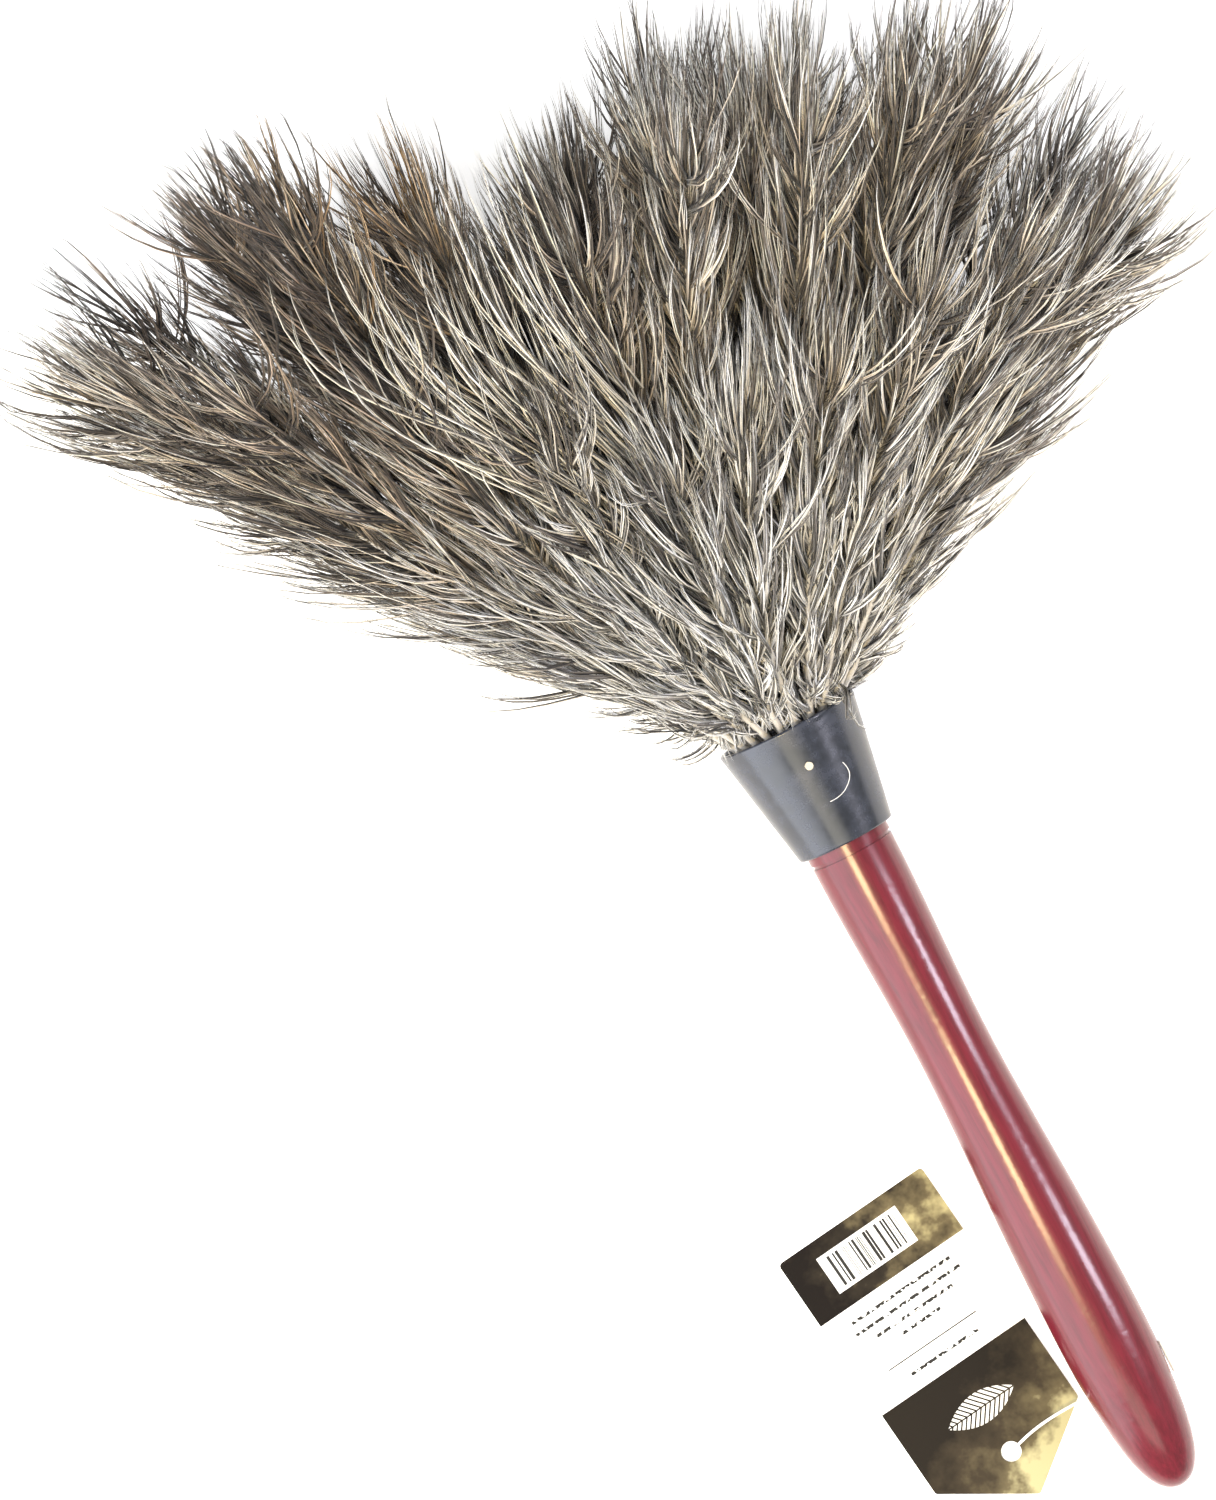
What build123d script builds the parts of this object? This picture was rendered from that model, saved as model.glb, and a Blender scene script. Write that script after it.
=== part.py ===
from build123d import *
from math import cos, pi, radians, sin, tan
import os

os.makedirs("parts", exist_ok=True)

# Feather duster lying on a flat surface. Millimetres and degrees.
# +Z is up, +Y runs along the handle towards the feathers, z = 0 is the surface.
# The handle's own frame starts at the centre of the collar's mouth.

# Place of the collar's mouth, and how far the handle rises towards the feathers
MOUTH_X = -8.3
MOUTH_Y = 16.0
MOUTH_Z = 26.75
HANDLE_TILT = 4.5

# Collar: a tapered plastic tube, wide end at the feathers
COLLAR_LENGTH = 34.2
COLLAR_MOUTH_RADIUS = 19.6
COLLAR_FOOT_RADIUS = 13.4
COLLAR_WALL = 1.5
COLLAR_EDGE_RADIUS = 0.6

# Handle: turned wood. Each pair is a distance below the collar and a radius.
HANDLE_LENGTH = 191.5
HANDLE_NECK_RADIUS = 11.5
HANDLE_NECK_LENGTH = 2.4
HANDLE_GROOVE_RADIUS = 10.9
HANDLE_GROOVE_LENGTH = 1.0
HANDLE_SHOULDER_RADIUS = 11.4
HANDLE_WAIST = (62.0, 9.9)
HANDLE_RISE = (104.0, 11.2)
HANDLE_BELLY = (140.0, 12.0)
HANDLE_TAPER = (168.0, 10.8)
HANDLE_TIP_SHARE = 0.9
SEAT_LENGTH = 3.2
SPIGOT_RADIUS = 6.0
SPIGOT_STOP = -5.0

# Brads: one above and one below, through the collar into the spigot
BRAD_RADIUS = 0.5
BRAD_HEAD_RADIUS = 1.1
BRAD_HEAD_HEIGHT = 0.5
BRAD_DEPTH = 4.0
BRAD_PLACE = -11.2
BRAD_HOLE_PLAY = 0.02

# Fall of the collar's radius per millimetre along its length
COLLAR_TAPER = (COLLAR_MOUTH_RADIUS - COLLAR_FOOT_RADIUS) / COLLAR_LENGTH

# Quills and the wire that binds each row of them to the spigot
QUILL_RADIUS = 1.2
WIRE_RADIUS = 0.4
BINDING_PLAY = 0.05
WIRE_PITCH = 0.9
QUILL_BEND = -1.5
QUILL_BEND_SHARE = 0.3
ROW_NAMES = ("inner", "middle", "outer")
ROW_COUNTS = (10, 16, 22)
ROW_STARTS = (-29.0, -22.0, -13.0)
ROW_WIRES = (-27.5, -20.5, -9.8)
ROW_TURNS = (6, 6, 5)
ROW_SPREADS = (0.27, 0.64, 1.0)
ROW_CELLS = (0.075, 0.115, 0.130)

# The fan that the feathers fill: sideways from the handle's line, and up from level
FAN_CENTRE = 10.0
FAN_HALF_WIDTH = 47.0
FAN_LIFT = 16.5
FAN_HALF_HEIGHT = 18.0

# Two lobes: direction, half width, reach, and the share lost at the lobe's edge
LEFT_LOBE = (-27.0, 24.0, 206.0, 0.35)
RIGHT_LOBE = (33.0, 33.0, 185.0, 0.25)
UPPER_OUTER_LOSS = 0.42
LOWER_OUTER_LOSS = 0.15

UPPER_LOSS_POWER = 1.5

# Vane of a feather: where it starts on the shaft, and its shape along its length
VANE_START = 6.0
VANE_START_RADIUS = 1.3
VANE_ROOM = 0.9
VANE_BASE = 1.0
VANE_FULL_SHARE = 0.78
VANE_END_SHARE = 0.45
SHAFT_END = 12.0

# Hang tag: a card with one pointed end, its far end on the surface
TAG_WIDTH = 45.5
TAG_LENGTH = 73.0
TAG_POINT = 15.5
TAG_THICKNESS = 0.4
TAG_TURN = 7.0
TAG_RISE = 0.75
TAG_CORNER_RADIUS = 1.2
TAG_HOLE_RADIUS = 2.7
TAG_HOLE_PLACE = 2.0

# Tag fastener: a bar and a paddle joined by a thin filament through the handle
HOLE_PLACE = -193.6
HOLE_RADIUS = 1.5
FILAMENT_RADIUS = 0.4
BAR_RADIUS = 0.6
BAR_LENGTH = 9.0
BAR_REACH = 12.35
PADDLE_LENGTH = 9.0
PADDLE_WIDTH = 5.0
PADDLE_THICKNESS = 0.65
PADDLE_GAP = 0.05

# Filament's route from the bar to the paddle, from the handle's line at the cross hole
FILAMENT_ROUTE = (
    (12.1, 0.0, 0.0),
    (-15.0, 0.0, 0.0),
    (-26.5, -1.0, -1.8),
    (-34.0, -3.4, -5.8),
    (-35.5, -4.2, -10.86),
)
RUN_SHARE = 0.45

HANDLE_FRAME = Location((MOUTH_X, MOUTH_Y, MOUTH_Z), (HANDLE_TILT, 0, 0))
# A turned piece is drawn in XY with +Y along its axis, and then revolved about Y
TURNING_AXIS = Axis((0, 0, 0), (0, 1, 0))


def in_handle(shape):
    """Puts a shape from the handle's own frame into the duster's."""
    return HANDLE_FRAME * shape


def on_handle(x, y, z):
    """A point of the handle's own frame, in the duster's."""
    return (HANDLE_FRAME * Location((x, y, z))).position


def turned(outline):
    """A solid turned about the handle's axis from a closed outline."""
    return revolve(make_face(outline), axis=TURNING_AXIS)


def across_bar(radius, y, low, high):
    """A round bar that stands along the handle's Z at a distance y along its axis."""
    return Pos(0, y, low) * extrude(Circle(radius), high - low)


def brad_span():
    """How far from the handle's line a brad's point and the underside of its head are."""
    highest_under_head = COLLAR_MOUTH_RADIUS + COLLAR_TAPER * (BRAD_PLACE + BRAD_HEAD_RADIUS)
    return SPIGOT_RADIUS - BRAD_DEPTH, highest_under_head


def above_and_below(shape):
    """A shape and its copy turned to the other side of the handle."""
    return [shape, Rot(0, 180, 0) * shape]


def brad_holes():
    """The holes that both brads sit in."""
    point, _ = brad_span()
    return above_and_below(across_bar(BRAD_RADIUS + BRAD_HOLE_PLAY, BRAD_PLACE, point, COLLAR_MOUTH_RADIUS))


def make_handle():
    """Turned handle with a neck ring, a seat for the collar and a spigot for the quills."""
    foot = -COLLAR_LENGTH
    neck_end = foot - HANDLE_NECK_LENGTH
    groove_end = neck_end - HANDLE_GROOVE_LENGTH
    tip = (0, foot - HANDLE_LENGTH)
    stations = [(r, foot - d) for d, r in (HANDLE_WAIST, HANDLE_RISE, HANDLE_BELLY, HANDLE_TAPER)]
    top = Polyline(
        tip,
        (0, SPIGOT_STOP),
        (SPIGOT_RADIUS, SPIGOT_STOP),
        (SPIGOT_RADIUS, foot + SEAT_LENGTH),
        (HANDLE_NECK_RADIUS, foot + SEAT_LENGTH),
        (HANDLE_NECK_RADIUS, neck_end),
        (HANDLE_GROOVE_RADIUS, neck_end),
        (HANDLE_GROOVE_RADIUS, groove_end),
        (HANDLE_SHOULDER_RADIUS, groove_end),
    )
    side = Spline(
        [(HANDLE_SHOULDER_RADIUS, groove_end), *stations, tip],
        tangents=[(0, -1), (-1, 0)],
        tangent_scalars=[1.0, HANDLE_TIP_SHARE],
    )
    body = turned(top + side)
    through_the_handle = 4 * HANDLE_NECK_RADIUS
    cross_hole = Pos(0, HOLE_PLACE, 0) * Rot(0, 90, 0) * Cylinder(HOLE_RADIUS, through_the_handle)
    return in_handle(body - cross_hole - brad_holes())


def make_collar():
    """Tapered tube that hides the bound quills."""
    foot = -COLLAR_LENGTH
    wall = Polyline(
        (COLLAR_MOUTH_RADIUS - COLLAR_WALL, 0),
        (COLLAR_MOUTH_RADIUS, 0),
        (COLLAR_FOOT_RADIUS, foot),
        (COLLAR_FOOT_RADIUS - COLLAR_WALL, foot),
        close=True,
    )
    collar = turned(wall)
    collar = fillet(collar.edges().filter_by(GeomType.CIRCLE), COLLAR_EDGE_RADIUS)
    return in_handle(collar - brad_holes())


def make_collar_brads():
    """Two brads that pin the collar to the spigot, between the quills."""
    point, seat = brad_span()
    shank = across_bar(BRAD_RADIUS, BRAD_PLACE, point, seat)
    head = across_bar(BRAD_HEAD_RADIUS, BRAD_PLACE, seat, seat + BRAD_HEAD_HEIGHT)
    return in_handle(Compound(above_and_below(shank + head)))


def bend_radius(before, corner, after, share):
    """Radius of the arc that takes a share of the shorter run at a corner."""
    turn = (corner - before).get_angle(after - corner)
    shorter_run = min((corner - before).length, (after - corner).length)
    return share * shorter_run / tan(radians(turn) / 2)


def row_radius(row):
    """Distance from the spigot's axis to the centres of a row's quills."""
    first = SPIGOT_RADIUS + BINDING_PLAY + QUILL_RADIUS
    step = 2 * (QUILL_RADIUS + WIRE_RADIUS + BINDING_PLAY)
    return first + row * step


def make_binding_wire(row):
    """The turns of wire over one row of quills."""
    radius = row_radius(row) + QUILL_RADIUS + BINDING_PLAY + WIRE_RADIUS
    turn = Rot(90, 0, 0) * Torus(radius, WIRE_RADIUS)
    turns = [Pos(0, ROW_WIRES[row] + i * WIRE_PITCH, 0) * turn for i in range(ROW_TURNS[row])]
    return in_handle(Compound(turns))


def lobe_reach(lateral, lobe):
    """How far a lobe's feathers reach in one direction."""
    centre, half_width, reach, loss = lobe
    return reach * (1 - loss * ((lateral - centre) / half_width) ** 4)


def feather_course(row, index):
    """A feather's place round the spigot, its sideways and upward angles, and its length."""
    place = radians(90 + (index + 0.5) * 360 / ROW_COUNTS[row])
    side = ROW_SPREADS[row] * cos(place)
    rise = ROW_SPREADS[row] * sin(place)
    lateral = FAN_CENTRE + FAN_HALF_WIDTH * side
    elevation = FAN_LIFT + FAN_HALF_HEIGHT * rise
    length = max(lobe_reach(lateral, LEFT_LOBE), lobe_reach(lateral, RIGHT_LOBE))
    if ROW_NAMES[row] == "outer":
        upper_loss = UPPER_OUTER_LOSS * max(0, rise) ** UPPER_LOSS_POWER
        length *= 1 - upper_loss - LOWER_OUTER_LOSS * max(0, -rise)
    return place, lateral, elevation, length


def heading(lateral, elevation):
    """A direction from its sideways and upward angles."""
    a, b = radians(lateral), radians(elevation)
    return Vector(sin(a) * cos(b), cos(a) * cos(b), sin(b))


def make_vane(base, lateral, elevation, length, cell):
    """The soft part of a feather: a flattened spindle that widens away from the collar."""
    along = heading(lateral, elevation)
    across = heading(lateral + 90, 0)
    full = length * VANE_FULL_SHARE
    half_width = VANE_BASE + VANE_ROOM * cell * radians(FAN_HALF_WIDTH) * full * cos(radians(elevation))
    half_height = VANE_BASE + VANE_ROOM * cell * radians(FAN_HALF_HEIGHT) * full
    stations = (
        (VANE_START, VANE_START_RADIUS, VANE_START_RADIUS),
        (full / 2, VANE_BASE + half_width / 2, VANE_BASE + half_height / 2),
        (full, half_width, half_height),
        (length, half_width * VANE_END_SHARE, half_height * VANE_END_SHARE),
    )
    sections = []
    for distance, wide, high in stations:
        plane = Plane(origin=base + along * distance, x_dir=across, z_dir=along)
        sections.append(plane * Ellipse(wide, high))
    return loft(sections)


def make_feather(row, index):
    """One feather: a bent quill bound to the spigot, and its vane."""
    place, lateral, elevation, length = feather_course(row, index)
    radius = row_radius(row)
    root = on_handle(radius * cos(place), ROW_STARTS[row], radius * sin(place))
    bend = on_handle(radius * cos(place), QUILL_BEND, radius * sin(place))
    end = bend + heading(lateral, elevation) * SHAFT_END
    path = FilletPolyline(root, bend, end, radius=bend_radius(root, bend, end, QUILL_BEND_SHARE))
    section = Plane(origin=root, z_dir=bend - root) * Circle(QUILL_RADIUS)
    quill = sweep(section, path=path)
    return quill + make_vane(bend, lateral, elevation, length, ROW_CELLS[row])


def tag_place():
    """The card's frame: its hole's centre on its underside, +Y towards its far end."""
    x, y, z = FILAMENT_ROUTE[-1]
    hole = on_handle(0, HOLE_PLACE, 0) + Vector(x, y, 0)
    to_far_end = TAG_HOLE_PLACE + TAG_LENGTH
    height = to_far_end * sin(radians(TAG_RISE)) + PADDLE_GAP
    level = Location((hole.X, hole.Y, height), (0, 0, TAG_TURN))
    return level * Location((0, 0, 0), (-TAG_RISE, 0, 0))


def make_tag_card():
    """Printed card with a pointed end and a hole."""
    half = TAG_WIDTH / 2
    shoulder = TAG_HOLE_PLACE
    far = TAG_HOLE_PLACE + TAG_LENGTH
    outline = Polyline(
        (-half, far), (half, far), (half, shoulder), (0, shoulder - TAG_POINT), (-half, shoulder), close=True
    )
    face = make_face(outline)
    face = fillet(face.vertices(), TAG_CORNER_RADIUS)
    face -= Circle(TAG_HOLE_RADIUS)
    return tag_place() * extrude(face, TAG_THICKNESS)


def filament_points():
    """The filament's route in the duster's frame."""
    start = on_handle(0, HOLE_PLACE, 0)
    return [start + Vector(*point) for point in FILAMENT_ROUTE]


def make_tag_filament():
    """Thin nylon filament through the cross hole and down to the card."""
    points = filament_points()
    radii = [bend_radius(*corner, RUN_SHARE) for corner in zip(points, points[1:], points[2:])]
    print("filament radii", [round(r, 1) for r in radii])
    path = FilletPolyline(*points, radius=radii)
    section = Plane(origin=points[0], z_dir=points[1] - points[0]) * Circle(FILAMENT_RADIUS)
    filament = sweep(section, path=path)
    expected = pi * FILAMENT_RADIUS**2 * path.length
    print(f"filament length {path.length:.1f}, volume {filament.volume:.2f} of {expected:.2f}")
    return filament


def make_tag_bar():
    """The bar that stops the filament from pulling back through the handle."""
    centre = on_handle(0, HOLE_PLACE, 0) + Vector(BAR_REACH, 0, 0)
    return Pos(*centre) * Rot(90 + HANDLE_TILT, 0, 0) * Cylinder(BAR_RADIUS, BAR_LENGTH)


def make_tag_paddle():
    """The flat end of the fastener, under the card."""
    end = filament_points()[-1]
    plate = extrude(SlotOverall(PADDLE_LENGTH, PADDLE_WIDTH), -PADDLE_THICKNESS)
    return Pos(*end) * Rot(0, 0, 90 + TAG_TURN) * plate


def main():
    """Makes every sub-part and writes its file."""
    pieces = {
        "handle": make_handle(),
        "collar": make_collar(),
        "collar_brads": make_collar_brads(),
        "tag_card": make_tag_card(),
        "tag_filament": make_tag_filament(),
        "tag_bar": make_tag_bar(),
        "tag_paddle": make_tag_paddle(),
    }
    for row, name in enumerate(ROW_NAMES):
        pieces[f"binding_wire_{name}"] = make_binding_wire(row)
        for index in range(ROW_COUNTS[row]):
            pieces[f"feather_{name}_{index + 1:02d}"] = make_feather(row, index)
    for node, shape in pieces.items():
        export_step(shape, f"parts/{node}.step")


main()
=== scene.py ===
from math import cos, pi, radians, sin

import bpy
import numpy as np
from mathutils import Matrix, Vector


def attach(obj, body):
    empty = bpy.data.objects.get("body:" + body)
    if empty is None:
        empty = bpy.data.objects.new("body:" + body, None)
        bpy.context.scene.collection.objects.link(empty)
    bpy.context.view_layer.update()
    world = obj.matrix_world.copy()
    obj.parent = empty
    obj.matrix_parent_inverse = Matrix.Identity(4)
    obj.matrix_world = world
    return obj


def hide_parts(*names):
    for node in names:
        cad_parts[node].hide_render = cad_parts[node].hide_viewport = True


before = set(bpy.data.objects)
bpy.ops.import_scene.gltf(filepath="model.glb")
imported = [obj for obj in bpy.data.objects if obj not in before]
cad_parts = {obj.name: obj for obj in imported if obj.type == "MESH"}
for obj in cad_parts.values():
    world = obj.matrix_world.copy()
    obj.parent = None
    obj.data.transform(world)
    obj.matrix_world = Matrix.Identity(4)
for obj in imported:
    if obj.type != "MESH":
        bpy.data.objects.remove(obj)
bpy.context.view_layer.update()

UP = np.array([0.0, 0.0, 1.0])

# Place of the collar's mouth and the handle's rise towards the feathers, as in the CAD model (metres)
MOUTH = np.array([-0.0083, 0.0160, 0.02675])
HANDLE_TILT = radians(4.5)
QUILL_BEND = -0.0015
# The fan of the feathers, in degrees: sideways from the handle, and up from level to its shaded middle
FAN_CENTRE = 10
FAN_HALF_WIDTH = 47
FAN_LIFT = 11.5
FAN_HALF_HEIGHT = 18
QUILL_RADIUS = 0.0012
COLLAR_MOUTH_RADIUS = 0.0196
COLLAR_TAPER = 0.181
HOLE_PLACE = -0.1936


def on_handle(x, y, z):
    """A point of the handle's own frame, in the row frame."""
    c, s = cos(HANDLE_TILT), sin(HANDLE_TILT)
    return MOUTH + np.array([x, y * c - z * s, y * s + z * c])


def unit(v):
    """Vectors scaled to length one, along the last axis."""
    return v / np.maximum(np.linalg.norm(v, axis=-1, keepdims=True), 1e-12)


# ---------------------------------------------------------------- camera

VIEW_CENTRE = (-0.0527, 0.0312, 0.020)
VIEW_TURN = radians(27.5)
VIEW_HEIGHT = 0.392
LENS_MM = 320.0
SENSOR_MM = 36.0


def make_camera():
    """Looks straight down, turned so that the handle leans the way it does in the view."""
    data = bpy.data.cameras.new("camera")
    data.sensor_width = SENSOR_MM
    data.lens = LENS_MM
    camera = bpy.data.objects.new("camera", data)
    bpy.context.scene.collection.objects.link(camera)
    distance = VIEW_HEIGHT * LENS_MM / SENSOR_MM
    camera.location = Vector(VIEW_CENTRE) + Vector((0, 0, distance))
    camera.rotation_euler = (0, 0, -VIEW_TURN)
    bpy.context.scene.camera = camera


make_camera()

# ---------------------------------------------------------------- node helpers


def new_material(name):
    """A material with nodes, and its principled shader."""
    material = bpy.data.materials.new(name)
    material.use_nodes = True
    return material, material.node_tree, material.node_tree.nodes["Principled BSDF"]


def node(tree, kind, **values):
    """A node with its properties and unlinked inputs set."""
    made = tree.nodes.new(kind)
    for key, value in values.items():
        if key in made.inputs:
            made.inputs[key].default_value = value
        else:
            setattr(made, key, value)
    return made


def math_node(tree, operation, a, b=None, clamp=False):
    """A Math node whose inputs are numbers or sockets."""
    made = tree.nodes.new("ShaderNodeMath")
    made.operation = operation
    made.use_clamp = clamp
    for socket, value in zip(made.inputs, (a, b)):
        if value is None:
            continue
        if isinstance(value, (int, float)):
            socket.default_value = value
        else:
            tree.links.new(value, socket)
    return made.outputs[0]


def mix_colour(tree, factor, a, b, blend="MIX"):
    """A colour mix whose factor and colours are values or sockets."""
    made = tree.nodes.new("ShaderNodeMix")
    made.data_type = "RGBA"
    made.blend_type = blend
    named = {"factor": made.inputs[0], "a": made.inputs[6], "b": made.inputs[7]}
    for key, value in (("factor", factor), ("a", a), ("b", b)):
        if isinstance(value, (int, float)):
            named[key].default_value = value
        elif isinstance(value, tuple):
            named[key].default_value = (*value, 1.0)
        else:
            tree.links.new(value, named[key])
    return made.outputs[2]


def ramp(tree, factor, stops):
    """A colour ramp with (position, colour) stops."""
    made = tree.nodes.new("ShaderNodeValToRGB")
    elements = made.color_ramp.elements
    while len(elements) < len(stops):
        elements.new(0.5)
    for element, (position, colour) in zip(elements, stops):
        element.position = position
        element.color = (*colour, 1.0)
    tree.links.new(factor, made.inputs["Fac"])
    return made.outputs["Color"]


def add_relief(tree, shader, noise, **values):
    """Fine bumps that follow a noise."""
    relief = node(tree, "ShaderNodeBump", **values)
    tree.links.new(noise.outputs["Fac"], relief.inputs["Height"])
    tree.links.new(relief.outputs["Normal"], shader.inputs["Normal"])


def line_curve(name, places, radius, roundness):
    """A round line along a smooth curve that its places pull on."""
    curve = bpy.data.curves.new(name, "CURVE")
    curve.dimensions = "3D"
    curve.bevel_depth = radius
    curve.bevel_resolution = roundness
    curve.use_fill_caps = True
    spline = curve.splines.new("NURBS")
    spline.points.add(len(places) - 1)
    for point, place in zip(spline.points, places):
        point.co = (*place, 1.0)
    spline.order_u = 3
    spline.use_endpoint_u = True
    line = bpy.data.objects.new(name, curve)
    bpy.context.scene.collection.objects.link(line)
    return line


# ---------------------------------------------------------------- the tag's fastener

FILAMENT_DIAMETER = 0.0008
FILAMENT_ROUTE = (
    (0.0121, 0.0, 0.0),
    (-0.0150, 0.0, 0.0),
    (-0.0265, -0.0010, -0.0018),
    (-0.0340, -0.0034, -0.0058),
    (-0.0355, -0.0042, -0.01086),
)


def make_fastener():
    """The filament as a smooth line along its route, with the bar and the paddle on it."""
    start = on_handle(0, HOLE_PLACE, 0)
    thread = line_curve("tag_thread", [start + place for place in FILAMENT_ROUTE], FILAMENT_DIAMETER / 2, 3)
    thread.data.materials.append(NYLON)
    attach(thread, "fastener")
    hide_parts("tag_filament")
    ends = [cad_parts["tag_bar"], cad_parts["tag_paddle"]]
    for end in ends:
        end.data.materials.clear()
        end.data.materials.append(NYLON)


NYLON_WHITES = ((0.3, (0.80, 0.80, 0.78)), (0.7, (0.90, 0.90, 0.90)))


def nylon_material():
    """Cloudy white nylon."""
    material, tree, shader = new_material("nylon_white")
    cloud = node(tree, "ShaderNodeTexNoise", Scale=900.0, Detail=2.0)
    tree.links.new(ramp(tree, cloud.outputs["Fac"], NYLON_WHITES), shader.inputs["Base Color"])
    shader.inputs["Roughness"].default_value = 0.3
    shader.inputs["Subsurface Weight"].default_value = 0.15
    shader.inputs["Subsurface Radius"].default_value = (0.001, 0.001, 0.001)
    return material


NYLON = nylon_material()
make_fastener()

# ---------------------------------------------------------------- feathers

# Coats, as linear colours: the painted shade of the lower layers, the main colour, and the lit ends of the
# barbs
SHADOW_BROWN = np.array((0.040, 0.030, 0.024))
DARK_BROWN = np.array((0.230, 0.155, 0.110))
TAUPE = np.array((0.510, 0.405, 0.300))
GOLD = np.array((0.640, 0.470, 0.240))
GREY_WHITE = np.array((0.880, 0.860, 0.830))
CREAM = np.array((0.950, 0.900, 0.790))
SHAFT_PALE = np.array((0.62, 0.58, 0.52))
BRIGHTEST = 0.97
# What a browned place loses of its red, green and blue
BROWN_LOSS = np.array((0.40, 0.49, 0.58))

# Places where the coat changes: strength, angle from the handle's line and half-width in degrees, then the
# distances from the mouth where the change starts and where it is full
EVERYWHERE = (-1, 0)
DARK_PATCHES = (
    (1.0, -23, 10, 0.110, 0.150),
    (0.6, -3, 5, *EVERYWHERE),
    (0.6, 9, 4, 0.085, 0.105),
    (0.7, 46, 6, 0.130, 0.160),
)
GOLD_PATCHES = ((0.65, -12, 5, *EVERYWHERE), (0.55, 36, 9, *EVERYWHERE), (0.9, -6, 5, 0.140, 0.160))
PALE_PATCHES = (
    (0.9, -8, 6, *EVERYWHERE),
    (0.45, 25, 20, *EVERYWHERE),
    (0.75, 58, 12, *EVERYWHERE),
    (0.8, -50, 9, *EVERYWHERE),
)
BROWN_PATCHES = ((1.0, -9, 10, 0.140, 0.160), (0.5, -9, 10, 0.168, 0.188))
LIGHT_PATCHES = ((1.0, -41, 13, 0.155, 0.125),)
# Painted shade under the long barbs over the middle, fading out beyond their ends
STREAMER_SHADE_PATCHES = ((1.0, -9, 8, 0.080, 0.120),)
STREAMER_SHADE_FADE = (0.165, 0.145)
# Lighter spots: strength, angle and half-width, distance from the mouth and half-width
LIGHT_SPOTS = ((0.8, -4, 15, 0.035, 0.020), (1.1, 14, 12, 0.122, 0.026), (0.5, -26, 7, 0.070, 0.020))
NEAR_MOUTH = (0.120, 0.045)
# Where barbs are out in the light: share of the way to the fan's rim, and distances from the mouth, in front
# and at the mouth, where they are lit by this much at most
OPEN_RIM = (0.25, 0.70)
OPEN_FRONT = (0.15, 0.18)
OPEN_MOUTH = (0.085, 0.045)
MOUTH_LIGHT = 0.7
DEEP_SHADE = 0.22
# Painted shade: barbs are darker where they start, and some barbs, painted in for the shadow between barbs,
# are nearly black
START_SHADE = 0.30
SHADED_SHARE = 0.45
LIT_ENDS = (0.2, 0.8)
SHADOW_BARB_TINT = 0.10
SHADOW_BARB_END = 1.5
BARB_TONES = (0.55, 0.95)
# How much the dark, the gold and the pale vary from tuft to tuft
COAT_NOISE = (0.5, 0.4, 0.7)

# A barb is a few thin hairs that run together, and a tuft is a few barbs that meet at their ends
TUFTS_PER_SIDE = 64
BARBS_PER_TUFT = 4
HAIRS_PER_BARB = 3
HAIR_SIDES = 3
HAIR_POINTS = 7
HAIR_WIDTH = 0.00044
HAIR_FRAY = 0.00024
HAIR_SHORTFALL = 0.003
# Each barb's hairs are painted in light and shade: one with a painted highlight, one plain, one in painted
# shadow
HAIR_LIGHT_AND_SHADE = (1.50, 1.00, 0.14)
HAIR_TAPER = (1.0, 1.0, 0.8, 0.35)
BARB_LENGTH = 0.038
# Tufts stand closer together towards the feather's end, all round the shaft
FIRST_TUFT = 0.02
TUFT_CROWDING = 0.82
TUFT_ROLL = 78
# Shares of the shaft: barbs have their full length from the first, hang down before the second, and fan out
# beyond the third
FULL_LENGTH_FROM = 0.55
HANGS_BEFORE = 0.12
FANS_FROM = 0.72
# A tuft's lean off the shaft, in degrees: its usual value, and how much it spreads, hangs and opens
TUFT_LEAN = 26
TUFT_SPREAD = 26
END_SPREAD = 46
END_LEAN = 4
HANGING_LEAN = 30
# Barbs of the far left plumes are longer by this share, around this angle
LONG_MORE = 0.3
LONG_PATCH = (-48, 10)
# A tuft's length at the quill, its loss towards the feather's end, and its least and its range by chance
START_LENGTH = 0.30
END_LOSS = 0.15
LEAST_LENGTH = 0.70
LENGTH_RANGE = 0.6
# Shares of a tuft's length: how far its tip strays, more where it hangs, and sags
TIP_STRAY = 0.09
HANGING_STRAY = 0.30
TIP_SAG = 0.10
# Shares of a tuft's lean that its barbs take at their start, on the whole and at their end
START_AIM, WHOLE_AIM, END_AIM = 1.3, 0.66, 0.2
# Barbs of a tuft: how close their ends are, at its middle and more at the feather's end, their least length
# and its range, how they sway, and how far along the curve's inner points lie
TUFT_BLUNT = 0.0011
END_BLUNT = 0.0016
LEAST_BARB = 0.78
BARB_RANGE = 0.34
BARB_SWAY = 0.035
START_PULL = 0.36
END_PULL = 0.34

SHAFT_POINTS = 40
SHAFT_SHARE = 0.85
SHAFT_SIDES = 6
QUILL_POINTS = 6
SHAFT_TAPER = ((0, QUILL_RADIUS), (0.12, 0.0010), (1, 0.0002))
SHAFT_BOW = -0.055
BOW_PATCH = (2, 38)
BOW_NOISE = 0.022
SHAFT_DROOP = 0.05
FLOOR_GAP = 0.0006

# How far the plumes reach beyond the CAD feathers, by angle from the handle's line
OUTLINE = (
    (-60, 1.0), (-48, 1.03), (-41, 1.05), (-35, 1.16), (-29, 1.20), (-20, 1.09), (-11, 1.17), (-5, 1.13),
    (-1, 1.14), (5, 1.09), (14, 1.08), (22, 1.02), (31, 1.07), (39, 1.06), (50, 1.09), (57, 1.04),
    (64, 0.99), (72, 1.09),
)
# Plumes near the two flanks turn to the right: by how many degrees, around which angle, and how wide
FLANK_TURNS = ((6.0, -58, 24), (1.5, 62, 17))
# Barbs that reach past these places, in front and at the sides, are drawn back towards them
FRONT_EASE = 0.216
SIDE_EASE = 0.150
SQUEEZE = 0.45
# How near a feather's lowest and farthest points its quill's root and its tip are looked for
ROOT_DEPTH = 1e-4
TIP_DEPTH = 0.004


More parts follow.
